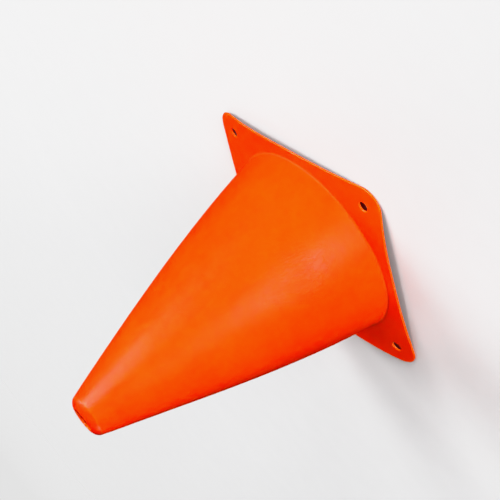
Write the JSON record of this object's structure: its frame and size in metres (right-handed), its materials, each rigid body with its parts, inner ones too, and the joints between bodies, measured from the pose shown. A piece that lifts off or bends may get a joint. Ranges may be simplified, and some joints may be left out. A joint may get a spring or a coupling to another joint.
{
  "type": "traffic cone",
  "caption": "Small hollow marker cone: slightly bowed tapering body on a square rounded flange with corner holes, and a hole in the domed tip.",
  "frame": {"origin": "centre of the base at floor level: the flange's four corners touch z = 0", "axes": "+Z is the cone's axis, towards the tip; X and Y run square to the flange's sides"},
  "size_m": [0.14, 0.14, 0.1825],
  "materials": {
    "soft_plastic": "satin moulded polyethylene, saturated orange"
  },
  "bodies": {
    "root": {"base_flange": "soft_plastic", "cone_body": "soft_plastic", "tip_ring": "soft_plastic"}
  },
  "joints": []
}
